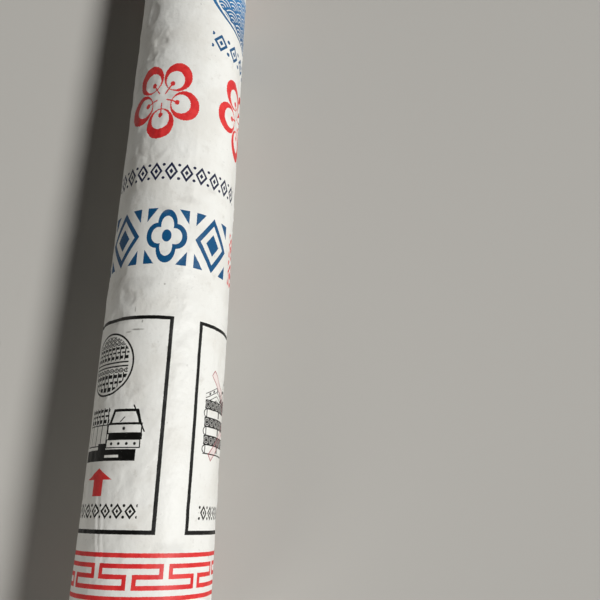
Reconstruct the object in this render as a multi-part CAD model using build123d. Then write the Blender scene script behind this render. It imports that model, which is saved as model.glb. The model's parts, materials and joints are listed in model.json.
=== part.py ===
from build123d import *
from math import acos, cos, degrees, radians, sin
import os

# Roll of bitumen roofing felt in a printed paper wrapper, lying on its side.
# Millimetres. The roll's axis runs along Y, +Z is up, and the origin is on the floor
# under the middle of the roll. Angles run counterclockwise from +X, looking along +Y.
#
# The felt is wound as a spiral of half circles, drawn by turns about two centres half
# a pitch apart, so each half turn is tangent to the next and lies half a pitch further
# out. The sheet starts in the bore and ends on the outside, both at angle 0.

# Felt sheet, as wound
FELT_WIDTH = 1000.0  # the sheet's width, so the roll's length
FELT_PITCH = 1.4  # radial growth per turn: sheet, surface dust and trapped air
FELT_TURNS = 35
BORE_DIAMETER = 40.0  # left by the winding bar

# Open seams between the turns, at both ends
SEAM_EVERY = 2  # turns from one open seam to the next: the others lie tight
SEAM_WIDTH = 0.5
SEAM_DEPTH = 1.0

# Paper wrapper
WRAPPER_WIDTH = 960.0  # along the roll, centred on it
PAPER_THICKNESS = 0.3
PAPER_SLACK = 0.1  # air between the felt and the paper
FREE_EDGE_ANGLE = 240.0  # where the paper's outer edge is glued down
LAP_WIDTH = 38.0  # paper on paper, from the free edge on

bore_radius = BORE_DIAMETER / 2
half_pitch = FELT_PITCH / 2
first_centre = (0, 0)
second_centre = (half_pitch, 0)
last_half_turn = 2 * FELT_TURNS + 1
upper_radius = bore_radius + FELT_TURNS * FELT_PITCH
lower_radius = upper_radius + half_pitch
tail_radius = upper_radius + FELT_PITCH
paper_inside = PAPER_SLACK
paper_outside = PAPER_SLACK + PAPER_THICKNESS
axis_height = lower_radius + paper_outside
section_plane = Plane(origin=(-half_pitch, 0, axis_height), x_dir=(1, 0, 0), z_dir=(0, -1, 0))


def polar(centre, radius, angle):
    """The point of the cross section at this radius and angle about a centre."""
    return (centre[0] + radius * cos(radians(angle)), centre[1] + radius * sin(radians(angle)))


def arc(centre, radius, start, end):
    """A circular arc about a centre, from one angle to another."""
    angles = (start, (start + end) / 2, end)
    return ThreePointArc(*[polar(centre, radius, angle) for angle in angles])


def tangent_angle(low, high):
    """How far round a sheet pulled tight runs straight, between two radii."""
    return degrees(acos(low / high))


def winding(half_turn, lift):
    """A half turn of the sheet's inner face, this far outside it."""
    centre, start = (second_centre, 180) if half_turn % 2 else (first_centre, 0)
    radius = bore_radius + half_turn * half_pitch + lift
    return arc(centre, radius, start, start + 180)


def extruded(face, width):
    """A cross section drawn out to this width, centred on the middle of the roll."""
    return extrude(section_plane * face, width / 2, both=True)


def felt_outline():
    """Outside of the wound felt: its last turn, and the square edge of its tail."""
    tail = Line((upper_radius, 0), (tail_radius, 0))
    return make_face([winding(last_half_turn - 1, 0), winding(last_half_turn, 0), tail])


def bore_outline():
    """Inside of the wound felt: round, with the gap where a turn climbs the sheet's start."""
    lifted = bore_radius + FELT_PITCH + SEAM_WIDTH
    settled = 360 - tangent_angle(bore_radius, lifted)
    edges = [
        arc(first_centre, bore_radius, 0, settled),
        Line(polar(first_centre, bore_radius, settled), (lifted, 0)),
        Line((lifted, 0), (bore_radius, 0)),
    ]
    return make_face(edges)


def seam_outline(turn):
    """The open gap outside one turn, once round: the foot of the tail for the last one."""
    half_turns = (2 * turn, 2 * turn + 1)
    start = bore_radius + turn * FELT_PITCH
    end = start + FELT_PITCH
    edges = [winding(half_turn, 0) for half_turn in half_turns]
    edges += [winding(half_turn, SEAM_WIDTH) for half_turn in half_turns]
    edges.append(Line((start, 0), (start + SEAM_WIDTH, 0)))
    edges.append(Line((end, 0), (end + SEAM_WIDTH, 0)))
    return make_face(edges)


def open_seams():
    """The open gaps at one end, counted inwards from the tail's foot."""
    turns = range(FELT_TURNS - 1, 0, -SEAM_EVERY)
    return [extruded(seam_outline(turn), 2 * SEAM_DEPTH) for turn in turns]


def felt_roll():
    """The wound felt as one solid with its bore, its turns cut into both ends."""
    roll = extruded(felt_outline(), FELT_WIDTH) - extruded(bore_outline(), FELT_WIDTH)
    ends = (Pos(0, -FELT_WIDTH / 2, 0), Pos(0, FELT_WIDTH / 2, 0))
    return roll - [end * seam for end in ends for seam in open_seams()]


def paper_outline(lift):
    """A sheet pulled tight round the felt, this far off it: it bridges the tail's step."""
    touch = tangent_angle(upper_radius + lift, tail_radius + lift)
    edges = [
        arc(first_centre, upper_radius + lift, touch, 180),
        arc(second_centre, lower_radius + lift, 180, 360),
        Line((tail_radius + lift, 0), polar(first_centre, upper_radius + lift, touch)),
    ]
    return make_face(edges)


def lap_outline():
    """Where the paper lies double: from its free edge to where its other edge ends below."""
    low = lower_radius + paper_outside
    high = low + PAPER_THICKNESS
    covered = FREE_EDGE_ANGLE - degrees(LAP_WIDTH / low)
    settled = covered - tangent_angle(low, high)
    edges = [
        Line(polar(second_centre, low, FREE_EDGE_ANGLE), polar(second_centre, high, FREE_EDGE_ANGLE)),
        arc(second_centre, high, FREE_EDGE_ANGLE, covered),
        Line(polar(second_centre, high, covered), polar(second_centre, low, settled)),
        arc(second_centre, low, settled, FREE_EDGE_ANGLE),
    ]
    return make_face(edges)


def paper_wrapper():
    """The paper sheet: one closed layer round the felt, and the second layer of its lap."""
    layer = paper_outline(paper_outside) - paper_outline(paper_inside)
    return extruded(layer, WRAPPER_WIDTH) + extruded(lap_outline(), WRAPPER_WIDTH)


os.makedirs("parts", exist_ok=True)
export_step(felt_roll(), "parts/felt_roll.step")
export_step(paper_wrapper(), "parts/paper_wrapper.step")
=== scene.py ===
import json
import math

import bmesh
import bpy
import numpy as np
from mathutils import Matrix, Vector, noise


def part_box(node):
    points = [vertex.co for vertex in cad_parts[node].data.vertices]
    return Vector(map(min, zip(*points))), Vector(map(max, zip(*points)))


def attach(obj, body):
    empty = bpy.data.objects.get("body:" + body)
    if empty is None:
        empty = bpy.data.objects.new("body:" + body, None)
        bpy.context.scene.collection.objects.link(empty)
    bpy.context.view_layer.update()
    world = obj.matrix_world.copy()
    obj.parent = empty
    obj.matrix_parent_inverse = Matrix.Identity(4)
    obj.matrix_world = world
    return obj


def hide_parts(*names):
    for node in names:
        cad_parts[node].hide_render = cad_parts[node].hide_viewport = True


# A roll of roofing felt, dressed: its printed paper wrapper and the wound felt inside it.
# Lengths are in millimetres up to the point where a mesh or a node gets them, and MM
# turns them into the frame's metres. A place on the wrapper is (round, along): round is
# measured over the paper from the top of the roll, growing to the right, and along from
# the roll's near end.

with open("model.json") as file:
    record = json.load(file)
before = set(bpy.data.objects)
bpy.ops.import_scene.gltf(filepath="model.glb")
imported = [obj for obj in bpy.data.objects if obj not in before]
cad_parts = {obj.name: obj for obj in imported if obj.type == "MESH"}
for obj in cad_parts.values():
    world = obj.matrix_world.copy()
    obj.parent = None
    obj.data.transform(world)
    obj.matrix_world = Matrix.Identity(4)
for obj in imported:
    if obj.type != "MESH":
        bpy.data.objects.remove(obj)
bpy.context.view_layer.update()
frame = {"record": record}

MM = 0.001

# Solids' boxes and the winding's two centres, read from the frame
felt_low, felt_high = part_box("felt_roll")
paper_low, paper_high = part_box("paper_wrapper")
NEAR_END = felt_low.y / MM
FAR_END = felt_high.y / MM
AXIS_HEIGHT = frame["record"]["mounts"][0]["pos_m"][2] / MM
FIRST_CENTRE_X = frame["record"]["mounts"][0]["pos_m"][0] / MM
SECOND_CENTRE_X = 0.0

# Paper sheet: half circles above and below, and a flat stretch over the felt's tail
UPPER_RADIUS = paper_high.z / MM - AXIS_HEIGHT
LOWER_RADIUS = AXIS_HEIGHT
TAIL_REACH = paper_high.x / MM
HALF_GIRTH = math.pi * (UPPER_RADIUS + LOWER_RADIUS) / 2
GIRTH = 2 * HALF_GIRTH
PAPER_START = paper_low.y / MM - NEAR_END
PAPER_END = paper_high.y / MM - NEAR_END
PAPER_THICKNESS = 0.3
FREE_EDGE = -183.0  # where its outer edge lies, round the roll
LAP = 38.0
LAP_FALL = 7.0  # the way over which the paper comes down from its lap
UNDER_LAP = 0.05  # how far the covered layer keeps below the upper one
RETURN_DEPTH = 14.0  # how far its inner face reaches in from both ends
HIGHEST_RISE = 0.75  # how far its folds and waves stand off at most
LEAST_RISE = 0.02
DEEPEST_DENT = 1.7
FLOOR_GAP = 0.02  # how far it keeps off the floor, and then its inner face
INNER_FLOOR_GAP = 0.3

# Cells of the paper's mesh: fine round its printed front, coarse below, and along the roll
FRONT_HALF = 110.0
FINE_CELL = 1.9
COARSE_CELL = 3.4
ALONG_CELL = 2.2

# Felt sheet, as wound
FELT_TURNS = 35
BORE_RADIUS = frame["record"]["mounts"][0]["dims"]["r_mm"]
FELT_PITCH = (felt_high.z / MM - AXIS_HEIGHT - BORE_RADIUS) / FELT_TURNS
STEPS_PER_TURN = 160
LAST_STEP = FELT_TURNS * STEPS_PER_TURN
LAST_TURN = LAST_STEP - STEPS_PER_TURN  # the step where the outermost turn starts
SEAM_WIDTH = 0.5
SEAM_DEPTH = 1.4
START_SEAM_DEPTH = 0.3  # the first turn has no seam inside it
FACE_DEPTH = 0.13  # how far its outer face lies below a smooth one, for its small lumps
DENT_ROOM = 2.2  # how far the felt lies back under the paper, so that it can be dented
BARE_END = 30.0  # the stretch at both ends where it does not
FELT_RINGS = (0.9, 8.0, 17.0, 26.0, 60.0)  # places along its face, from either end
JUST_BEFORE = 1e-6  # in turns, to stay on the near side of the sheet's end

# Paper and ink colours, linear
PAPER = (0.83, 0.83, 0.80)
SHADED_PAPER = (0.76, 0.75, 0.71)
STAIN = (0.40, 0.365, 0.31)
CREAM = (0.76, 0.70, 0.56)
RED = (0.66, 0.023, 0.027)
BRIGHT_RED = (0.77, 0.046, 0.044)
PINK = (0.80, 0.55, 0.55)
DULL_RED = (0.34, 0.06, 0.08)
BLUE = (0.004, 0.080, 0.208)
LIGHT_BLUE = (0.040, 0.21, 0.47)
NAVY = (0.007, 0.012, 0.048)
BLACK = (0.003, 0.003, 0.0025)
# Grime colour, also laid as painted shade on the roll's left side
GRIME_AND_SHADE = (0.16, 0.15, 0.135)

# Felt colours, linear
BITUMEN = (0.014, 0.0135, 0.013)
WORN_BITUMEN = (0.042, 0.040, 0.037)
GRIT = (0.15, 0.145, 0.13)
CORE = (0.060, 0.043, 0.030)
SEAM_DUST = (0.30, 0.29, 0.27)

# Studio: floor, and the surroundings' strength beside the floor and overhead
FLOOR_COLOUR = (0.465, 0.452, 0.427, 1.0)
FLOOR_REACH = 20.0  # metres
BACKDROP_COLOUR = (1.0, 0.965, 0.905, 1.0)
BACKDROP_LEVEL = 0.38
OVERHEAD_LEVEL = 0.03

# Camera: millimetres and degrees, and the photo's width in pixels
CAMERA_PLACE = (42.3, -355.0, 780.4)
CAMERA_HEADING = 24.14
CAMERA_PITCH = -68.42
CAMERA_ROLL = -26.67
FOCAL_PIXELS = 619.17
IMAGE_PIXELS = 600.0
SENSOR_MM = 36.0

# Print layout
FRET_ROW = 9.3
FRET_LINE = 4.1
FRET_GAP = 5.3
FRET_PERIOD = 68.6
FRET_PHASE = 25.2
FRET_START = 74.7
FRET_END = 925.3
PANEL_LINE = 4.0
PANEL_BOTTOM = 130.0
PANEL_TOP = 348.0
FIRST_PANEL = (-145.0, 11.5)
SECOND_PANEL = (41.5, 198.0)
ARROWS = (-55.5, 129.0)

# Small rolls in the panels' pictures
ROLL_PITCH = 6.6
ROLL_PHASE = -61.0
THIN_LINE = 0.65


def outline_point(around, lift):
    """Where the paper's outer face runs round the roll, this far outside it."""
    angle = math.pi / 2 - around / HALF_GIRTH * math.pi
    angle %= 2 * math.pi
    upper, lower = UPPER_RADIUS + lift, LOWER_RADIUS + lift
    reach = TAIL_REACH - FIRST_CENTRE_X + lift
    touch = math.acos(upper / reach)
    if angle > math.pi:
        return SECOND_CENTRE_X + lower * math.cos(angle), AXIS_HEIGHT + lower * math.sin(angle)
    if angle > touch:
        return FIRST_CENTRE_X + upper * math.cos(angle), AXIS_HEIGHT + upper * math.sin(angle)
    share = angle / touch
    end = (upper * math.cos(touch), upper * math.sin(touch))
    x = reach + (end[0] - reach) * share
    return FIRST_CENTRE_X + x, AXIS_HEIGHT + end[1] * share


def smooth(low, high, value):
    """0 below low, 1 above high, and a smooth ramp between them."""
    t = min(max((value - low) / (high - low), 0.0), 1.0)
    return t * t * (3 - 2 * t)


# Long folds pressed into the paper: the place round at its lower and its upper end, the
# places along of those ends, its depth and its width
FOLDS = (
    (-45.0, -57.0, 98.0, 176.0, 0.62, 1.9),
    (-39.5, -49.5, 96.0, 172.0, 0.50, 1.7),
    (-70.0, -74.0, 120.0, 240.0, 0.5, 2.4),
    (22.0, 20.0, 480.0, 590.0, 0.30, 3.0),
    (-98.0, -98.0, 250.0, 420.0, 0.5, 3.0),
    (64.0, 64.0, 205.0, 390.0, 0.30, 3.5),
    (120.0, 116.0, 560.0, 760.0, 0.7, 2.6),
    (-150.0, -154.0, 620.0, 820.0, 0.7, 2.6),
    (165.0, 168.0, 90.0, 260.0, 0.6, 2.6),
)

# Dents pressed into the paper: place round and along, half width, half length, depth
DENTS = (
    (-57.0, 768.0, 12.0, 21.0, 1.4),
    (-38.0, 715.0, 13.0, 10.0, 1.6),
    (-50.0, 696.0, 12.0, 7.0, 1.3),
    (-70.0, 680.0, 11.0, 9.0, 1.2),
    (-62.0, 735.0, 10.0, 10.0, 1.0),
    (-25.0, 752.0, 12.0, 16.0, 0.6),
    (-44.0, 371.0, 14.0, 12.0, 1.2),
    (-60.0, 349.0, 12.0, 10.0, 1.1),
    (-62.0, 402.0, 12.0, 15.0, 0.9),
    (-20.0, 392.0, 12.0, 14.0, 0.35),
    (96.0, 640.0, 16.0, 22.0, 1.2),
    (88.0, 300.0, 13.0, 24.0, 0.9),
    (-120.0, 540.0, 20.0, 26.0, 1.4),
    (150.0, 420.0, 18.0, 30.0, 1.2),
)


def dents_at(around, along):
    """How deep the pressed dents are here: flat at the bottom, with a fairly crisp rim."""
    depth = 0.0
    for place, middle, half_width, half_length, deepest in DENTS:
        across = (around - place) / half_width
        away = (along - middle) / half_length
        if abs(across) < 1.4 and abs(away) < 1.4:
            ragged = 0.35 * noise.noise(Vector((around / 11, along / 11, middle)))
            reach = math.hypot(across, away) + ragged
            depth = max(depth, deepest * (1 - smooth(0.35, 1.0, reach)))
    return depth


def folds_at(around, along):
    """The long folds' share of the paper's rise: a ridge with a furrow beside it."""
    rise = 0.0
    for lower, upper, start, end, depth, width in FOLDS:
        place = lower + (upper - lower) * (along - start) / (end - start)
        if start < along < end and abs(around - place) < 5 * width + 2:
            bend = 1.6 * noise.noise(Vector((along / 40, lower, 0)))
            across = (around - place - bend) / width
            window = smooth(start, start + 20, along) * (1 - smooth(end - 25, end, along))
            profile = math.exp(-across * across) - 0.8 * math.exp(-(across - 1.6) ** 2)
            rise += depth * window * profile
    return rise


def paper_rise(around, along):
    """How far the paper stands off its tightest shape: broad waves, dents and folds.

    Away from its ends the roll under it is dented too, so there the paper also sinks.
    """
    angle = around / HALF_GIRTH * math.pi
    x, y, z = math.sin(angle) * UPPER_RADIUS, along, math.cos(angle) * UPPER_RADIUS
    broad = noise.noise(Vector((x / 50, y / 150, z / 50)))
    dents = noise.noise(Vector((x / 17 + 9, y / 26, z / 17)))
    fine = noise.noise(Vector((x / 8, y / 10 + 31, z / 8)))
    crumple = smooth(-0.05, 0.35, noise.noise(Vector((x / 60 + 4, y / 130 + 2.4, z / 60))))
    ridge = 1 - abs(noise.noise(Vector((x / 15, y / 18 + 50, z / 15)))) * 2.2
    rise = 0.40 * broad + (0.30 + 0.70 * crumple) * dents + (0.08 + 0.22 * crumple) * fine
    rise += 0.55 * crumple * max(ridge, 0) ** 3 - 0.30 * crumple
    rise += folds_at(around, along) - dents_at(around, along)
    inland = smooth(15, 60, min(along - PAPER_START, PAPER_END - along))
    return max(min(rise - 0.15, HIGHEST_RISE), LEAST_RISE - DEEPEST_DENT * inland)


def grid_object(name, points, sheet):
    """A mesh of quads over a grid of points, with each point's place on the flat sheet."""
    rows, columns = points.shape[:2]
    index = np.arange(rows * columns).reshape(rows, columns)
    quads = np.stack([index[:-1, :-1], index[:-1, 1:], index[1:, 1:], index[1:, :-1]], axis=-1)
    mesh = bpy.data.meshes.new(name)
    mesh.from_pydata((points.reshape(-1, 3) * MM).tolist(), [], quads.reshape(-1, 4).tolist())
    layer = mesh.attributes.new("sheet", "FLOAT_VECTOR", "POINT")
    flat = np.zeros((rows * columns, 3), dtype=np.float32)
    flat[:, :2] = sheet.reshape(-1, 2)
    layer.data.foreach_set("vector", flat.ravel())
    return finished(mesh, 50.0)


def finished(mesh, sharp_angle):
    """An object with this mesh: equal points joined, faces outwards, smooth up to an angle."""
    shape = bmesh.new()
    shape.from_mesh(mesh)
    bmesh.ops.remove_doubles(shape, verts=shape.verts, dist=1e-7)
    bmesh.ops.recalc_face_normals(shape, faces=shape.faces)
    shape.to_mesh(mesh)
    shape.free()
    mesh.validate()
    for polygon in mesh.polygons:
        polygon.use_smooth = True
    mesh.set_sharp_from_angle(angle=math.radians(sharp_angle))
    obj = bpy.data.objects.new(mesh.name, mesh)
    bpy.context.scene.collection.objects.link(obj)
    return obj


def steps(start, end, cell):
    """Evenly spaced values from start to end, about a cell apart."""
    return np.linspace(start, end, int(round((end - start) / cell)) + 1)


def paper_point(around, along, inner, at_edge):
    """A point of the wrapper's outer face, or of its inner one at its ends and free edge."""
    from_edge = around - FREE_EDGE
    from_end = GIRTH + LAP - from_edge
    wave = 1.3 * noise.noise(Vector((along / 37, 3.3, 0)))
    lift = PAPER_THICKNESS * (1 - smooth(LAP, LAP + LAP_FALL, from_edge))
    lift += (0.55 + wave * 0.5) * math.exp(-(from_edge / 7) ** 2)
    if at_edge or inner:
        lift -= PAPER_THICKNESS
    if from_end < LAP:
        lift -= UNDER_LAP
    rise = paper_rise(around if from_edge < GIRTH else around - GIRTH, along)
    x, z = outline_point(around, lift + rise)
    ragged = 0.9 * noise.noise(Vector((around / 45, along * 0.01, 7)))
    end_share = 1 - smooth(0, 30, min(along - PAPER_START, PAPER_END - along))
    return x, NEAR_END + along + ragged * end_share, max(z, INNER_FLOOR_GAP if inner else FLOOR_GAP)


def wrapper_mesh():
    """The paper as one sheet: from its free edge once round, and on under its own lap."""
    rounds = np.concatenate([
        [FREE_EDGE],
        steps(FREE_EDGE, -FRONT_HALF, COARSE_CELL)[:-1],
        steps(-FRONT_HALF, FRONT_HALF, FINE_CELL)[:-1],
        steps(FRONT_HALF, FREE_EDGE + GIRTH + LAP, COARSE_CELL),
    ])
    near_return = [(PAPER_START + RETURN_DEPTH, True), (PAPER_START, True)]
    far_return = [(PAPER_END, True), (PAPER_END - RETURN_DEPTH, True)]
    outer = [(along, False) for along in steps(PAPER_START, PAPER_END, ALONG_CELL)]
    points, sheet = [], []
    for along, inner in near_return + outer + far_return:
        row = enumerate(rounds)
        points.append([paper_point(around, along, inner, column == 0) for column, around in row])
        sheet.append([(around, along) for around in rounds])
    return grid_object("wrapper", np.array(points), np.array(sheet))


class Print:
    """Builds masks from Math nodes: 1 where there is ink, 0 where there is none."""

    def __init__(self, tree):
        self.tree = tree
        self.column = 0

    def node(self, kind, **settings):
        node = self.tree.nodes.new(kind)
        for key, value in settings.items():
            setattr(node, key, value)
        self.column += 1
        node.location = (self.column % 60 * 180, -(self.column // 60) * 260)
        return node

    def feed(self, node, inputs):
        for socket, value in zip(node.inputs, inputs):
            if isinstance(value, bpy.types.NodeSocket):
                self.tree.links.new(value, socket)
            else:
                socket.default_value = value

    def math(self, operation, *inputs):
        node = self.node("ShaderNodeMath", operation=operation)
        self.feed(node, inputs)
        return node.outputs[0]

    def vector(self, operation, *inputs, output=0):
        node = self.node("ShaderNodeVectorMath", operation=operation)
        self.feed(node, inputs)
        return node.outputs[output]

    def parts(self, vector):
        node = self.node("ShaderNodeSeparateXYZ")
        self.feed(node, [vector])
        return tuple(node.outputs)

    def split(self, vector):
        return self.parts(vector)[:2]

    def joined(self, x, y):
        node = self.node("ShaderNodeCombineXYZ")
        self.feed(node, [x, y])
        return node.outputs[0]

    def plus(self, first, second):
        return self.math("ADD", first, second)

    def minus(self, first, second):
        return self.math("SUBTRACT", first, second)

    def times(self, first, second):
        return self.math("MULTIPLY", first, second)

    def over(self, first, second):
        return self.math("DIVIDE", first, second)

    def times_plus(self, first, second, third):
        return self.math("MULTIPLY_ADD", first, second, third)

    def absolute(self, value):
        return self.math("ABSOLUTE", value)

    def length(self, x, y):
        return self.vector("LENGTH", self.joined(x, y), output=1)

    def above(self, value, limit):
        return self.math("GREATER_THAN", value, limit)

    def below(self, value, limit):
        return self.math("LESS_THAN", value, limit)

    def near(self, value, middle, half_width):
        return self.math("COMPARE", value, middle, half_width)

    def union(self, *masks):
        result = masks[0]
        for mask in masks[1:]:
            result = self.math("MAXIMUM", result, mask)
        return result

    def both(self, *masks):
        result = masks[0]
        for mask in masks[1:]:
            result = self.math("MULTIPLY", result, mask)
        return result

    def without(self, mask, hole):
        return self.times(mask, self.minus(1.0, hole))

    def between(self, value, low, high):
        return self.near(value, (low + high) / 2, (high - low) / 2)

    def box(self, x, y, left, right, bottom, top):
        return self.both(self.between(x, left, right), self.between(y, bottom, top))

    def frame(self, x, y, left, right, bottom, top, line):
        outer = self.box(x, y, left, right, bottom, top)
        inner = self.box(x, y, left + line, right - line, bottom + line, top - line)
        return self.without(outer, inner)

    def distance(self, place, x, y):
        return self.vector("DISTANCE", place, (x, y, 0.0), output=1)

    def disc(self, place, x, y, radius):
        return self.below(self.distance(place, x, y), radius)

    def ring(self, place, x, y, radius, half_line):
        return self.near(self.distance(place, x, y), radius, half_line)

    def repeat(self, value, centre, pitch):
        """The value counted from the centre of its own cell, in a row of like cells."""
        return self.math("WRAP", self.minus(value, centre), pitch / 2, -pitch / 2)

    def lozenge(self, x, y, half_width, half_height):
        """0 at the middle of a lozenge and 1 on its outline."""
        across = self.over(self.absolute(x), half_width)
        return self.plus(across, self.over(self.absolute(y), half_height))


def fret(ink, u, v, start, direction):
    """A meander between two lines, from its outer line inwards along the roll."""
    height = ink.times(ink.minus(v, start), direction)
    away = ink.math("PINGPONG", ink.minus(u, FRET_PHASE), FRET_PERIOD / 2)
    half = FRET_LINE / 2
    gap = FRET_GAP / 2
    far = FRET_PERIOD / 2 - gap

    def row(number):
        return ink.between(height, number * FRET_ROW - half, number * FRET_ROW + half)

    def leg(low, left):
        tall = ink.between(height, low * FRET_ROW, (low + 1) * FRET_ROW)
        return ink.both(tall, ink.between(away, left, left + FRET_LINE))

    top = ink.both(row(3), ink.above(away, gap))
    middle = ink.both(row(2), ink.between(away, gap, far))
    bottom = ink.both(row(1), ink.below(away, far))
    legs = ink.union(leg(2, gap), leg(1, far - FRET_LINE))
    return ink.union(row(0), row(4), top, middle, bottom, legs)


def arrow(ink, u, v, centre):
    """A broad arrow that points up the roll."""
    foot, shoulder, tip = 164.5, 180.0, 191.0
    half_shaft, half_head = 7.2, 18.0
    x = ink.absolute(ink.minus(u, centre))
    shaft = ink.both(ink.below(x, half_shaft), ink.between(v, foot, shoulder + 1.0))
    slope = ink.over(ink.minus(tip, v), tip - shoulder)
    head = ink.below(x, ink.times(slope, half_head))
    return ink.union(shaft, ink.both(head, ink.above(v, shoulder)))


def upright_rolls(ink, u, v, foot, height):
    """A row of rolls that stand side by side: outlines and broken dark bands."""
    x = ink.repeat(u, ROLL_PHASE, ROLL_PITCH)
    side = ROLL_PITCH / 2
    outline = ink.both(
        ink.above(ink.absolute(x), side - THIN_LINE),
        ink.between(v, foot, foot + height),
    )
    bands = (
        (-side, side * 0.3, 0.08, 0.30),
        (-side * 0.4, side, 0.46, 0.58),
        (-side, side * 0.5, 0.74, 0.92),
    )
    marks = [
        ink.box(x, v, left, right, foot + height * low, foot + height * high)
        for left, right, low, high in bands
    ]
    return ink.union(outline, *marks)


def roll_tops(ink, u, v, low, high):
    """Rows of roll ends, seen from a little above."""
    flattening = 1.4
    row = ROLL_PITCH * 0.7
    x = ink.repeat(u, ROLL_PHASE, ROLL_PITCH)
    y = ink.times(ink.repeat(v, low + row / 2, row), flattening)
    away = ink.length(x, y)
    rings = ink.union(ink.near(away, ROLL_PITCH * 0.38, THIN_LINE), ink.below(away, 1.0))
    return ink.both(rings, ink.between(v, low, high))


def close_up(ink, place, u, v):
    """A round close-up of rolls that stand in two tiers."""
    centre, radius, right_side = (-60.7, 297.3), 30.0, -33.0
    tiers = ink.union(
        upright_rolls(ink, u, v, 300.5, 15.5),
        roll_tops(ink, u, v, 316.0, 330.0),
        upright_rolls(ink, u, v, 266.0, 21.0),
        roll_tops(ink, u, v, 287.0, 292.0),
        ink.between(v, 293.2, 294.8),
        ink.between(v, 297.4, 299.0),
    )
    inside = ink.both(ink.disc(place, *centre, radius), ink.below(u, right_side))
    return ink.union(ink.both(tiers, inside), ink.ring(place, *centre, radius + 3.2, 1.0))


def lorry_cab(ink, place, u, v):
    """The front of the lorry: its screen, hood, grille, bumper with lamps, and mirror."""
    middle, roof, sill = -30.0, 249.0, 233.0
    half_roof, flaring, post = 14.5, 0.30, 3.0
    x = ink.absolute(ink.minus(u, middle))
    flare = ink.times_plus(ink.minus(roof - 1.0, v), flaring, half_roof)
    cab = ink.both(ink.below(x, flare), ink.between(v, sill, roof))
    pane_side = ink.below(x, ink.minus(flare, post))
    pane = ink.both(pane_side, ink.between(v, sill + 2.3, roof - 2.8))
    hood = ink.frame(u, v, -50.0, -10.5, 224.0, 235.0, 1.3)
    badge = ink.disc(place, middle, 229.3, 1.7)
    wiper = ink.both(ink.near(ink.minus(u, v), -271.0, 0.7), ink.between(v, 236.0, 241.0))
    grille = ink.box(u, v, -48.0, -10.0, 218.4, 224.6)
    lamp_place = ink.joined(ink.repeat(u, -43.0, 8.7), ink.minus(v, 214.4))
    lamps = ink.both(ink.disc(lamp_place, 0.0, 0.0, 1.5), ink.between(u, -47.5, -12.0))
    bumper = ink.frame(u, v, -50.0, -11.0, 210.0, 219.0, 1.1)
    arm = ink.near(ink.times_plus(u, 2.0, v), 209.7, 1.6)
    mirror = ink.both(arm, ink.between(v, 226.0, 253.0))
    return ink.union(ink.without(cab, pane), hood, badge, wiper, grille, bumper, lamps, mirror)


def lorry(ink, place, u, v):
    """A loaded lorry, seen from the front and a little from its left side."""
    side_box = (-86.0, -50.0, 212.0, 234.0)
    board_pitch, half_board = 9.0, 0.55
    side = ink.frame(u, v, *side_box, 1.1)
    joint = ink.below(ink.absolute(ink.repeat(u, -68.0, board_pitch)), half_board)
    boards = ink.both(joint, ink.box(u, v, *side_box))
    load = ink.both(upright_rolls(ink, u, v, 234.0, 17.0), ink.between(u, -85.0, -49.5))
    shade = ink.union(
        ink.box(u, v, -89.0, -15.0, 197.8, 209.0),
        ink.box(u, v, -62.0, -50.0, 205.0, 215.0),
    )
    plate = ink.box(u, v, -50.5, -33.0, 201.0, 203.6)
    return ink.without(ink.union(lorry_cab(ink, place, u, v), side, boards, load, shade), plate)


def pile_ends(ink, u, v, pitch):
    """Tiers of the crossed pile that show their round ends, light rings on black."""
    half_height = 4.8
    x = ink.repeat(u, 61.3, 9.3)
    y = ink.repeat(v, 260.2, pitch)
    place = ink.joined(x, y)
    rings = ink.union(ink.ring(place, 0.0, 0.0, 3.7, 0.24), ink.ring(place, 0.0, 0.0, 2.1, 0.2))
    ends = ink.without(ink.below(ink.absolute(y), half_height), rings)
    core = ink.disc(place, 0.0, 0.0, 1.0)
    return ink.both(ink.union(ends, core), ink.above(u, 57.0))


def pile_lengths(ink, u, v, pitch):
    """Tiers of the crossed pile that show their lengths, outlined, one round face each."""
    half_height, left = 4.4, 59.6
    y = ink.repeat(v, 250.9, pitch)
    outline = ink.near(ink.absolute(y), half_height, 0.45)
    seam = ink.box(u, y, left, left + 1.2, -half_height, half_height)
    body = ink.both(ink.union(outline, seam), ink.above(u, left))
    joint = ink.box(u, y, 85.0, 88.4, -2.8, half_height)
    joint = ink.both(joint, ink.between(v, 205.0, 262.0))
    arc = ink.ring(ink.joined(ink.minus(u, left + 0.6), y), 0.0, 0.0, 4.2, 0.55)
    return ink.union(body, joint, ink.both(arc, ink.below(u, left + 0.6)))


def mound(ink, u, v):
    """The low mound of rolls on top of the crossed pile."""
    ridge, ridge_height, fall, row = 78.0, 281.0, -0.45, 4.6
    slope = ink.times_plus(ink.absolute(ink.minus(u, ridge)), fall, ridge_height)
    drop = ink.minus(slope, v)
    lines = ink.below(ink.math("FLOORED_MODULO", drop, row), 0.9)
    marks = ink.both(ink.between(ink.repeat(u, 64.0, 8.0), -1.6, 1.2), ink.between(drop, 1.5, 4.0))
    return ink.both(ink.union(lines, marks), ink.above(drop, 0.0))


def crossed_pile(ink, u, v):
    """Rolls piled crosswise on their sides, tier by tier, with a mound on top."""
    pitch = 18.6
    foot, top = 208.5, 265.2
    pile = ink.union(pile_ends(ink, u, v, pitch), pile_lengths(ink, u, v, pitch))
    pile = ink.both(pile, ink.box(u, v, 55.0, 112.0, foot, top))
    return ink.union(pile, ink.both(mound(ink, u, v), ink.box(u, v, 57.0, 111.0, top, 300.0)))


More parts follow.
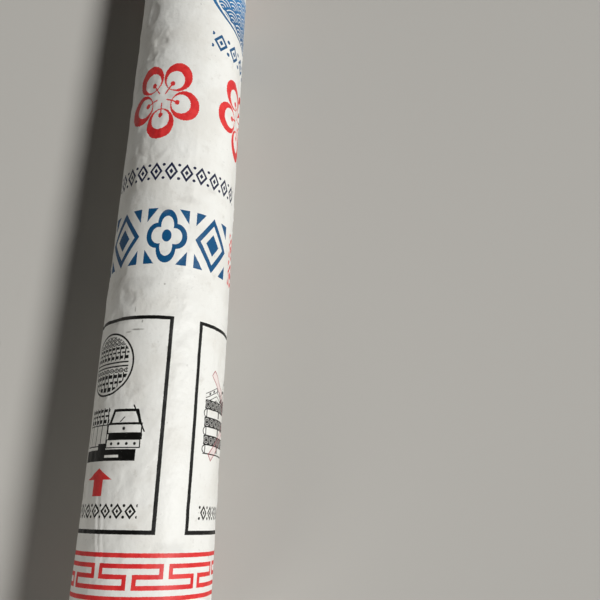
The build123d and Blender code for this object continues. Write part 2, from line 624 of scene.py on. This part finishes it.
def leaning_rolls(ink, u, v):
    """Rolls that lean over, in a low tier and a high one."""
    pitch, band_row, margin = 11.5, 11.0, 5.7
    marks = []
    for lean, left, right, foot, top in (
        (0.36, 118.0, 164.0, 213.0, 262.0),
        (0.75, 92.0, 134.0, 266.0, 297.0),
    ):
        slid = ink.times_plus(v, -lean, ink.plus(u, lean * foot))
        x = ink.repeat(slid, left, pitch)
        edge = ink.above(ink.absolute(x), pitch / 2 - THIN_LINE)
        y = ink.repeat(v, foot + 3.0, band_row)
        bands = ink.both(ink.between(x, -4.0, 2.4), ink.below(ink.absolute(y), 1.8))
        ends = ink.union(ink.between(v, foot, foot + 1.6), ink.between(v, top - 4.0, top - 1.2))
        tier = ink.union(edge, bands, ends)
        sides = ink.between(slid, left - margin, right + margin)
        marks.append(ink.both(tier, sides, ink.between(v, foot, top)))
    return ink.union(*marks)


def crossing_bars(ink, u, v):
    """Two bars that cross over the second picture: their tint and their outline."""
    centre = (121.0, 250.5)
    bar = (-69.0, 69.0, -4.6, 4.6)
    x = ink.minus(u, centre[0])
    y = ink.minus(v, centre[1])
    tints, lines = [], []
    for angle in (math.radians(41.0), math.radians(-41.0)):
        along = ink.times_plus(x, math.cos(angle), ink.times(y, math.sin(angle)))
        across = ink.times_plus(x, -math.sin(angle), ink.times(y, math.cos(angle)))
        tints.append(ink.box(along, across, *bar))
        lines.append(ink.frame(along, across, *bar, 1.0))
    return ink.union(*tints), ink.union(*lines)


def small_marks(ink, u, v, first, pitch, low, high, line):
    """A row of lozenge outlines, each with a solid heart, and beads between each two."""
    x = ink.repeat(u, first, pitch)
    y = ink.minus(v, (low + high) / 2)
    half_width, half_height = pitch * 0.43, (high - low) / 2
    level = ink.lozenge(x, y, half_width, half_height)
    inset = 1 - line / min(half_width, half_height)
    bead_x = ink.repeat(u, first + pitch / 2, pitch)
    bead_y = ink.minus(ink.absolute(y), half_height * 0.72)
    beads = ink.disc(ink.joined(bead_x, bead_y), 0.0, 0.0, line * 0.62)
    return ink.union(ink.between(level, inset, 1.0), ink.below(level, inset * 0.48), beads)


def title_row(ink, u, v):
    """Large blue ornaments, a lozenge and a rosette by turns, each in a cornered cell."""
    middle, phase, pitch = 441.5, -4.7, 56.5
    half_width, half_height = 24.0, 34.0
    gap_middle, gap_shift = 155.0, -25.3
    row = ink.union(ink.between(u, -146.0, 80.5), ink.between(u, 165.3, 282.3))
    u = ink.times_plus(ink.above(u, gap_middle), gap_shift, u)
    x = ink.repeat(u, phase, pitch)
    y = ink.minus(v, middle)
    cell = ink.box(x, y, -half_width, half_width, -half_height, half_height)
    level = ink.lozenge(x, y, half_width, half_height)
    lozenge = ink.union(ink.between(level, 0.72, 1.0), ink.below(level, 0.40))
    flat_x, flat_y = ink.over(x, half_width), ink.over(y, half_height)
    radius = ink.length(flat_x, flat_y)
    angle = ink.math("ARCTAN2", flat_y, flat_x)
    petals = ink.absolute(ink.math("COSINE", ink.times(angle, 2.0)))
    edge = ink.times_plus(petals, 0.32, 0.52)
    rosette = ink.union(ink.near(radius, edge, 0.12), ink.below(radius, 0.22))
    corners = ink.both(cell, ink.above(level, 1.5))
    odd = ink.above(ink.math("PINGPONG", ink.minus(u, phase), pitch), pitch / 2)
    pick = ink.union(ink.both(lozenge, odd), ink.without(rosette, odd))
    return ink.both(ink.union(ink.both(pick, cell), corners), row)


def title_pairs(ink, u, v):
    """Two columns of small red ornaments, between the large blue ones."""
    half_width, half_height = 15.0, 15.5
    x = ink.repeat(u, 105.0, 36.0)
    y = ink.repeat(v, 459.0, 35.0)
    level = ink.lozenge(x, y, half_width + 0.5, half_height + 0.5)
    marks = ink.union(ink.between(level, 0.70, 1.0), ink.below(level, 0.36))
    cell = ink.box(x, y, -half_width, half_width, -half_height, half_height)
    corners = ink.both(ink.above(level, 1.45), cell)
    return ink.both(ink.union(marks, corners), ink.box(u, v, 87.5, 158.5, 406.5, 476.5))


def brush_blossoms(ink, u, v):
    """Three large red blossoms, in brush strokes that swell towards their outer side."""
    phase, pitch, stretch = -27.0, 120.0, 1.2
    petal_place, petal_radius, half_stroke, swelling = 27.5, 14.2, 3.0, 0.17
    x = ink.repeat(u, phase, pitch)
    middle = ink.times_plus(ink.above(u, 33.0), 10.0, 626.0)
    y = ink.over(ink.minus(v, middle), stretch)
    radius = ink.length(x, y)
    angle = ink.plus(ink.math("ARCTAN2", y, x), math.radians(18.0))
    petal = ink.math("WRAP", angle, math.pi / 5, -math.pi / 5)
    petal_x = ink.times(radius, ink.math("COSINE", petal))
    petal_y = ink.times(radius, ink.math("SINE", petal))
    place = ink.joined(petal_x, petal_y)
    swell = ink.times_plus(ink.minus(petal_x, petal_place), swelling, half_stroke)
    away = ink.distance(place, petal_place, 0.0)
    outline = ink.near(away, petal_radius, ink.math("MAXIMUM", swell, 0.3))
    thread = ink.box(petal_x, petal_y, 6.0, 20.0, -0.8, 0.8)
    thread = ink.union(thread, ink.disc(place, 20.5, 0.0, 2.9))
    return ink.both(ink.union(outline, thread), ink.box(u, v, -87.0, 273.0, 560.0, 700.0))


def wave_scales(ink, u, v):
    """Overlapping wave scales in an oval: concentric arcs in staggered rows."""
    radius, row, line, white_share = 20.0, 10.0, 5.0, 0.30
    x = ink.minus(u, 101.5)
    y = ink.minus(v, 755.0)
    level = ink.math("FLOOR", ink.over(y, row))
    away = []
    for below in (1.0, 0.0):
        number = ink.minus(level, below)
        shift = ink.times(ink.math("PINGPONG", number, 1.0), radius)
        column = ink.math("WRAP", ink.plus(x, shift), radius, -radius)
        away.append(ink.length(column, ink.minus(y, ink.times(number, row))))
    front = ink.below(away[0], radius)
    spread = ink.plus(ink.both(away[0], front), ink.without(away[1], front))
    arcs = ink.above(ink.math("FLOORED_MODULO", spread, line), line * white_share)
    size = ink.length(ink.over(x, 80.0), ink.over(ink.minus(y, 48.0), 46.0))
    return ink.union(ink.both(arcs, ink.below(size, 0.88)), ink.between(size, 0.93, 1.0))


def noise_node(ink, place, scale, detail=2.0, roughness=0.5):
    """Noise over a place given in millimetres, with features about 1 / scale across."""
    node = ink.node("ShaderNodeTexNoise")
    ink.tree.links.new(place, node.inputs["Vector"])
    node.inputs["Scale"].default_value = scale
    node.inputs["Detail"].default_value = detail
    node.inputs["Roughness"].default_value = roughness
    return node.outputs["Fac"], node.outputs["Color"]


def ramp(ink, value, low, high):
    """0 below low and 1 above high, with a smooth step between them."""
    node = ink.node("ShaderNodeMapRange", interpolation_type="SMOOTHSTEP")
    ink.feed(node, [value, low, high, 0.0, 1.0])
    return node.outputs[0]


def mixed(ink, share, first, second):
    """One colour over another, by a mask."""
    node = ink.node("ShaderNodeMix", data_type="RGBA")
    share_socket, first_socket, second_socket = (node.inputs[number] for number in (0, 6, 7))
    for socket, value in ((share_socket, share), (first_socket, first), (second_socket, second)):
        if isinstance(value, bpy.types.NodeSocket):
            ink.tree.links.new(value, socket)
        elif isinstance(value, tuple):
            socket.default_value = (*value, 1.0)
        else:
            socket.default_value = value
    return node.outputs[2]


def new_material(name):
    material = bpy.data.materials.new(name)
    material.use_nodes = True
    tree = material.node_tree
    return material, Print(tree), tree.nodes["Principled BSDF"]


def red_print(ink, brushed, u, v):
    """The meander borders, the arrows, the title's small ornaments and the blossoms."""
    frets = ink.union(fret(ink, u, v, FRET_START, 1.0), fret(ink, u, v, FRET_END, -1.0))
    frets = ink.both(frets, ink.above(u, FREE_EDGE + LAP))
    arrows = [arrow(ink, u, v, centre) for centre in ARROWS]
    blossoms = brush_blossoms(ink, *ink.split(brushed))
    return ink.union(frets, *arrows, title_pairs(ink, u, v), blossoms)


def navy_print(ink, u, v):
    """The row of marks under the title, and short dashes beside the second panel."""
    marks = small_marks(ink, u, v, first=-96.5, pitch=18.0, low=511.5, high=535.5, line=3.0)
    row = ink.union(ink.between(u, -105.5, 92.5), ink.between(u, 155.0, 209.5))
    dash = ink.box(u, ink.repeat(v, 190.0, 24.0), 234.0, 252.0, -1.6, 1.6)
    return ink.union(ink.both(marks, row), ink.both(dash, ink.between(v, 180.0, 345.0)))


def black_print(ink, place, u, v):
    """The panels' frames, their rows of small marks and their pictures."""
    frames = [
        ink.frame(u, v, *sides, PANEL_BOTTOM, PANEL_TOP, PANEL_LINE)
        for sides in (FIRST_PANEL, SECOND_PANEL)
    ]
    marks = small_marks(ink, u, v, first=-14.2, pitch=13.3, low=143.5, high=158.0, line=2.3)
    row = ink.union(ink.between(u, -127.0, -7.5), ink.between(u, 57.5, 177.0))
    first_picture = ink.union(close_up(ink, place, u, v), lorry(ink, place, u, v))
    second_picture = ink.union(crossed_pile(ink, u, v), leaning_rolls(ink, u, v))
    return ink.union(*frames, ink.both(marks, row), first_picture, second_picture)


def ink_masks(ink, sheet):
    """Where each ink lies on the sheet, all with slightly uneven edges."""
    wobble = ink.vector("SUBTRACT", noise_node(ink, sheet, 0.6, 3.0)[1], (0.5, 0.5, 0.5))
    place = ink.vector("ADD", sheet, ink.vector("MULTIPLY", wobble, (0.6, 0.6, 0.0)))
    brushed = ink.vector("ADD", sheet, ink.vector("MULTIPLY", wobble, (2.4, 2.4, 0.0)))
    u, v = ink.split(place)
    scales = wave_scales(ink, u, v)
    under = small_marks(ink, u, v, first=43.0, pitch=26.0, low=713.0, high=740.0, line=4.4)
    under = ink.both(under, ink.between(u, 29.5, 160.5))
    tint, bars = crossing_bars(ink, u, v)
    return {
        "tint": tint,
        "black": black_print(ink, place, u, v),
        "bars": bars,
        "navy": navy_print(ink, u, v),
        "blue": ink.union(title_row(ink, u, v), scales, under),
        "red": red_print(ink, brushed, u, v),
        "scales": scales,
    }


def paper_colour(ink, sheet):
    """White paper, unevenly yellowed and smudged, with a bare cream strip at its free edge."""
    mottle = noise_node(ink, sheet, 0.013, 4.0, 0.6)[0]
    clouds = noise_node(ink, sheet, 0.05, 5.0, 0.62)[0]
    colour = mixed(ink, ramp(ink, mottle, 0.42, 0.66), PAPER, SHADED_PAPER)
    strip = ink.below(ink.split(sheet)[0], FREE_EDGE + LAP)
    colour = mixed(ink, ink.times(strip, 0.8), colour, CREAM)
    return mixed(ink, ink.times(ramp(ink, clouds, 0.56, 0.76), 0.34), colour, STAIN)


# Soiled places: middle round and along, half width, half length, strength. Those on the left side,
# round -27 to -47 (the first three and the long one at along 722), are partly soil and partly
# painted shade of that side and of its dents.
SMUDGES_AND_SHADE = (
    (-47.0, 374.0, 12.0, 20.0, 0.24),
    (-27.0, 386.0, 12.0, 9.0, 0.14),
    (-43.0, 346.0, 15.0, 7.0, 0.18),
    (-9.0, 474.0, 7.0, 5.0, 0.20),
    (19.0, 489.0, 14.0, 4.5, 0.13),
    (46.0, 510.0, 8.0, 4.0, 0.14),
    (-40.0, 722.0, 14.0, 34.0, 0.16),
    (28.0, 118.0, 22.0, 6.0, 0.14),
    (-27.0, 332.5, 7.0, 1.0, 0.75),
    (-37.0, 330.5, 3.5, 0.9, 0.6),
    (-31.5, 355.0, 0.9, 3.4, 0.55),
    (-22.0, 341.0, 0.9, 2.2, 0.65),
    (-1.5, 384.0, 1.1, 1.1, 0.6),
)


def smudges_and_shade(ink, sheet):
    """The single soiled places, each with an uneven edge; those on the left side are partly painted
    shade.
    """
    ragged = ink.vector("SUBTRACT", noise_node(ink, sheet, 0.09, 3.0, 0.5)[1], (0.5, 0.5, 0.5))
    darkened = 0.0
    for around, along, half_width, half_length, strength in SMUDGES_AND_SHADE:
        place = ink.vector("SUBTRACT", sheet, (around, along, 0.0))
        place = ink.vector("MULTIPLY", place, (1 / half_width, 1 / half_length, 0.0))
        place = ink.vector("MULTIPLY_ADD", ragged, (2.0, 2.0, 0.0), place)
        away = ink.vector("LENGTH", place, output=1)
        darkened = ink.math("MAXIMUM", darkened, ink.times(ramp(ink, away, 1.3, 0.35), strength))
    return darkened


def scuffs_and_shade(ink, sheet):
    """Fine grey scuffs in patches, a few small dark specks, and the soiled places, partly painted
    shade.
    """
    dust = noise_node(ink, sheet, 0.22, 4.0, 0.6)[0]
    zone = noise_node(ink, sheet, 0.02, 2.0, 0.5)[0]
    patches = ink.both(ramp(ink, dust, 0.58, 0.72), ramp(ink, zone, 0.48, 0.66))
    patches = ink.times(patches, 0.24)
    cells = ink.node("ShaderNodeTexVoronoi", feature="F1")
    stretched = ink.vector("MULTIPLY", sheet, (1.0, 0.45, 0.0))
    ink.tree.links.new(stretched, cells.inputs["Vector"])
    cells.inputs["Scale"].default_value = 0.055
    chosen = ink.above(ink.split(cells.outputs["Color"])[0], 0.72)
    near = ramp(ink, cells.outputs["Distance"], 0.050, 0.022)
    specks = ink.times(ink.both(near, chosen), 0.65)
    return ink.union(patches, specks, smudges_and_shade(ink, sheet))


def printed_colour(ink, sheet):
    """The paper with its inks, one over the other, each with a few missing specks."""
    masks = ink_masks(ink, sheet)
    specks = noise_node(ink, sheet, 0.55, 2.0, 0.5)[0]
    wear = ink.minus(1.0, ink.times(ramp(ink, specks, 0.69, 0.77), 0.3))
    depth = noise_node(ink, sheet, 0.08, 3.0)[0]
    red = mixed(ink, ramp(ink, depth, 0.35, 0.65), RED, BRIGHT_RED)
    height = ramp(ink, ink.split(sheet)[1], 748.0, 835.0)
    blue = mixed(ink, ink.times(masks["scales"], height), BLUE, LIGHT_BLUE)
    colour = paper_colour(ink, sheet)
    for name, tone, strength in (
        ("tint", PINK, 0.4),
        ("black", BLACK, 1.0),
        ("bars", DULL_RED, 1.0),
        ("navy", NAVY, 1.0),
        ("blue", blue, 1.0),
        ("red", red, 1.0),
    ):
        cover = ink.times(masks[name], ink.times(wear, strength))
        colour = mixed(ink, cover, colour, tone)
    return colour


def paper_material():
    """Coated white paper with its print, its soiling, which is partly painted shade on its left
    side, and its soft gloss.
    """
    material, ink, shader = new_material("printed_paper")
    sheet = ink.node("ShaderNodeAttribute", attribute_name="sheet").outputs["Vector"]
    soil_and_shade = scuffs_and_shade(ink, sheet)
    # Soiling over the printed paper: dirt, and on the left side partly painted shade
    colour = mixed(ink, soil_and_shade, printed_colour(ink, sheet), GRIME_AND_SHADE)
    ink.tree.links.new(colour, shader.inputs["Base Color"])
    sheen = noise_node(ink, sheet, 0.04, 4.0, 0.6)[0]
    gloss = ink.times_plus(sheen, 0.18, 0.38)
    ink.tree.links.new(ink.times_plus(soil_and_shade, 0.3, gloss), shader.inputs["Roughness"])
    shader.inputs["Specular IOR Level"].default_value = 0.27
    grain = noise_node(ink, sheet, 1.2, 3.0)[0]
    creases = noise_node(ink, sheet, 0.12, 4.0, 0.6)[0]
    relief = ink.times_plus(creases, 8.0, ink.times(grain, 0.3))
    bump(ink, shader, relief, 0.4, 0.00025)
    return material


def bump(ink, shader, height, strength, distance):
    """Fine relief, too small for the mesh."""
    node = ink.node("ShaderNodeBump")
    node.inputs["Strength"].default_value = strength
    node.inputs["Distance"].default_value = distance
    ink.tree.links.new(height, node.inputs["Height"])
    ink.tree.links.new(node.outputs[0], shader.inputs["Normal"])


def felt_point(turned, offset):
    """Where the sheet lies after this many turns from the bore, seen along the roll.

    The offset is counted outwards from its inner face.
    """
    turned = min(turned, FELT_TURNS - JUST_BEFORE)
    half_turn = math.floor(turned * 2 + 1e-9)
    centre = SECOND_CENTRE_X if half_turn % 2 else FIRST_CENTRE_X
    reach = BORE_RADIUS + half_turn * FELT_PITCH / 2 + offset
    angle = 2 * math.pi * turned
    return centre + reach * math.cos(angle), AXIS_HEIGHT + reach * math.sin(angle)


def felt_edge(turned, side):
    """Across the edge of one turn at an end: the seam's foot, and the edge's two corners."""
    angle = 2 * math.pi * min(turned, FELT_TURNS - JUST_BEFORE)
    spot = Vector((turned * 0.31, 1.3 * math.cos(angle) + side, 1.3 * math.sin(angle)))
    jump = noise.noise(Vector((math.floor(turned / 3.1) * 7.7, side * 5.0, 0.5)))
    fray = noise.noise(Vector((turned * 41.0, side * 9.0, 2.0)))
    depth = 0.55 + 0.7 * noise.noise(spot) + 0.35 * jump + 0.22 * fray
    foot = START_SEAM_DEPTH if turned < 1 else SEAM_DEPTH
    lip = SEAM_WIDTH / 2
    points = []
    for offset, sunk in ((0.0, foot), (lip, 0.0), (FELT_PITCH - lip, 0.05)):
        x, z = felt_point(turned, offset)
        points.append((x, side * (FAR_END - max(depth + sunk, 0.0)), z))
    return points


def felt_end(points, faces, side):
    """One end of the roll, three points to a step: the turns' edges and the seams between."""
    first = len(points)
    turn = 3 * STEPS_PER_TURN
    for step in range(LAST_STEP + 1):
        points += felt_edge(step / STEPS_PER_TURN, side)
    for step in range(LAST_STEP):
        a = first + 3 * step
        b = a + 3
        faces += [(a, a + 1, b + 1, b), (a + 1, a + 2, b + 2, b + 1)]
        if step + STEPS_PER_TURN < LAST_STEP:
            faces.append((a + 2, a + turn, b + turn, b + 2))
    return first


def felt_face(points, faces):
    """The outside of the last turn, ring by ring along the roll, closed along its tail."""
    places = [-FAR_END + depth for depth in FELT_RINGS]
    places += [FAR_END - depth for depth in reversed(FELT_RINGS)]
    rings = []
    for y in places:
        rings.append(len(points))
        back = DENT_ROOM if abs(y) < FAR_END - BARE_END else 0.0
        for step in range(LAST_TURN, LAST_STEP + 1):
            turned = step / STEPS_PER_TURN
            lump = 0.12 * noise.noise(Vector((y / 9, turned * 60, 3.0)))
            x, z = felt_point(turned, FELT_PITCH - FACE_DEPTH + lump - back)
            points.append((x, y, z))
    for lower, upper in zip(rings, rings[1:]):
        for step in range(STEPS_PER_TURN):
            faces.append((lower + step, lower + step + 1, upper + step + 1, upper + step))
        faces.append((lower, lower + STEPS_PER_TURN, upper + STEPS_PER_TURN, upper))
    return rings[0], rings[-1]


def felt_rim(faces, end, ring):
    """Where the last turn's edge meets its face, and the square edge of the tail there."""
    foot = end + 3 * LAST_TURN + 2
    for step in range(STEPS_PER_TURN):
        corner = foot + 3 * step
        faces.append((corner, corner + 3, ring + step + 1, ring + step))
    tail = end + 3 * LAST_STEP
    faces.append((ring, foot, tail, tail + 1, tail + 2, ring + STEPS_PER_TURN))


def felt_bore(faces, near, far):
    """The inside of the first turn, and the square edge of the sheet's start."""
    for step in range(STEPS_PER_TURN):
        a, b = near + 3 * step, far + 3 * step
        faces.append((a, a + 3, b + 3, b))
    rows = (0, 1, 2, 3 * STEPS_PER_TURN)
    for low, high in zip(rows, rows[1:]):
        faces.append((near + low, near + high, far + high, far + low))


def felt_mesh():
    """The wound felt as one closed surface: both ends, its outside and its bore."""
    points, faces = [], []
    near, far = felt_end(points, faces, -1), felt_end(points, faces, 1)
    near_ring, far_ring = felt_face(points, faces)
    felt_rim(faces, near, near_ring)
    felt_rim(faces, far, far_ring)
    felt_bore(faces, near, far)
    mesh = bpy.data.meshes.new("felt")
    mesh.from_pydata((np.array(points) * MM).tolist(), [], faces)
    return finished(mesh, 35.0)


def felt_material():
    """Black bitumen felt: a brown paper core in its cut edges, pale dust in its seams."""
    material, ink, shader = new_material("bitumen_felt")
    coordinates = ink.node("ShaderNodeTexCoord").outputs["Object"]
    place = ink.vector("MULTIPLY", coordinates, (1 / MM, 1 / MM, 1 / MM))
    x, y, z = ink.parts(place)
    lower = ink.below(z, AXIS_HEIGHT)
    centre = ink.times_plus(lower, SECOND_CENTRE_X - FIRST_CENTRE_X, FIRST_CENTRE_X)
    x, z = ink.minus(x, centre), ink.minus(z, AXIS_HEIGHT)
    radius = ink.length(x, z)
    wound = ink.times_plus(lower, -FELT_PITCH / 2, ink.minus(radius, BORE_RADIUS))
    from_middle = ink.absolute(ink.repeat(wound, FELT_PITCH / 2, FELT_PITCH))
    at_end = ink.above(ink.absolute(y), FAR_END - 3.0)
    inside = ink.below(radius, TAIL_REACH - FIRST_CENTRE_X - 1.2)

    grain = noise_node(ink, place, 0.9, 4.0, 0.7)[0]
    patches = noise_node(ink, place, 0.05, 4.0, 0.6)[0]
    turned = ink.joined(ink.times(wound, 0.7), ink.math("ARCTAN2", z, x))
    streaks = noise_node(ink, turned, 3.0, 3.0)[0]
    colour = mixed(ink, ramp(ink, patches, 0.35, 0.7), BITUMEN, WORN_BITUMEN)
    colour = mixed(ink, ink.times(ramp(ink, grain, 0.55, 0.74), 0.8), colour, GRIT)
    core = ink.both(ramp(ink, from_middle, 0.34, 0.20), at_end, ramp(ink, streaks, 0.35, 0.65))
    colour = mixed(ink, core, colour, CORE)
    seam = ink.both(ramp(ink, from_middle, 0.40, 0.52), ramp(ink, from_middle, 0.66, 0.55))
    dusty = ink.both(seam, at_end, inside, ramp(ink, streaks, 0.40, 0.62))
    colour = mixed(ink, dusty, colour, SEAM_DUST)
    ink.tree.links.new(colour, shader.inputs["Base Color"])
    ink.tree.links.new(ink.times_plus(grain, 0.3, 0.62), shader.inputs["Roughness"])
    bump(ink, shader, grain, 0.6, 0.0004)
    return material


def floor():
    """A plain pale floor under the roll."""
    low, high = -FLOOR_REACH, FLOOR_REACH
    mesh = bpy.data.meshes.new("floor")
    corners = [(low, low, 0), (high, low, 0), (high, high, 0), (low, high, 0)]
    mesh.from_pydata(corners, [], [(0, 1, 2, 3)])
    obj = bpy.data.objects.new("floor", mesh)
    bpy.context.scene.collection.objects.link(obj)
    material, _, shader = new_material("pale_floor")
    shader.inputs["Base Color"].default_value = FLOOR_COLOUR
    shader.inputs["Roughness"].default_value = 0.8
    mesh.materials.append(material)


def backdrop():
    """Plain surroundings, as pale as the floor where they meet it and dim overhead."""
    world = bpy.data.worlds.new("studio")
    world.use_nodes = True
    ink = Print(world.node_tree)
    shade = world.node_tree.nodes["Background"]
    shade.inputs[0].default_value = BACKDROP_COLOUR
    height = ink.parts(ink.node("ShaderNodeTexCoord").outputs["Generated"])[2]
    level = ink.node("ShaderNodeMapRange", interpolation_type="SMOOTHSTEP")
    ink.feed(level, [height, 0.02, 0.34, BACKDROP_LEVEL, OVERHEAD_LEVEL])
    ink.tree.links.new(level.outputs[0], shade.inputs[1])
    bpy.context.scene.world = world


def area_light(name, place, aim, size, spread, power, colour):
    """A square soft light that faces a point."""
    data = bpy.data.lights.new(name, "AREA")
    data.size = size
    data.spread = math.radians(spread)
    data.energy = power
    data.color = colour
    light = bpy.data.objects.new(name, data)
    light.location = place
    light.rotation_mode = "QUATERNION"
    light.rotation_quaternion = (Vector(aim) - Vector(place)).to_track_quat("-Z", "Y")
    light.visible_camera = False
    bpy.context.scene.collection.objects.link(light)


def daylight(tilt, strength, spread, colour):
    """Even soft light from the right, tilted this many degrees from straight above."""
    data = bpy.data.lights.new("daylight", "SUN")
    data.energy = strength
    data.angle = math.radians(spread)
    data.color = colour
    light = bpy.data.objects.new("daylight", data)
    light.rotation_euler = (0.0, math.radians(tilt), 0.0)
    bpy.context.scene.collection.objects.link(light)


def lights():
    """Soft daylight from the upper right, and a faint light on the near end's left."""
    daylight(tilt=40.0, strength=3.22, spread=14.0, colour=(1.0, 0.995, 0.975))
    area_light(
        "left",
        place=(-0.60, -1.15, 0.50),
        aim=(0.0, -0.42, 0.10),
        size=0.4,
        spread=60.0,
        power=0.36,
        colour=(1.0, 0.97, 0.92),
    )


def plain_colours():
    """Colours shown as they are, since the usual view pales strong inks."""
    bpy.context.scene.view_settings.view_transform = "Standard"


def camera():
    """The photograph's view: from above the near half of the roll, turned to the right."""
    heading, pitch, roll = (math.radians(x) for x in (CAMERA_HEADING, CAMERA_PITCH, CAMERA_ROLL))
    level = math.cos(pitch)
    forward = Vector((math.sin(heading) * level, math.cos(heading) * level, math.sin(pitch)))
    side = forward.cross(Vector((0, 0, 1))).normalized()
    upright = side.cross(forward)
    up = upright * math.cos(roll) + side * math.sin(roll)
    right = forward.cross(up)
    turn = Matrix((right, up, -forward)).transposed().to_4x4()
    data = bpy.data.cameras.new("camera")
    data.sensor_width = SENSOR_MM
    data.lens = FOCAL_PIXELS / IMAGE_PIXELS * SENSOR_MM
    data.clip_start = 0.01
    data.clip_end = 50.0
    obj = bpy.data.objects.new("camera", data)
    obj.matrix_world = Matrix.Translation(Vector(CAMERA_PLACE) * MM) @ turn
    bpy.context.scene.collection.objects.link(obj)
    bpy.context.scene.camera = obj


wrapper = wrapper_mesh()
wrapper.data.materials.append(paper_material())
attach(wrapper, "root")
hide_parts("paper_wrapper")

felt = felt_mesh()
felt.data.materials.append(felt_material())
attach(felt, "root")
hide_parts("felt_roll")

floor()
backdrop()
lights()
plain_colours()
camera()
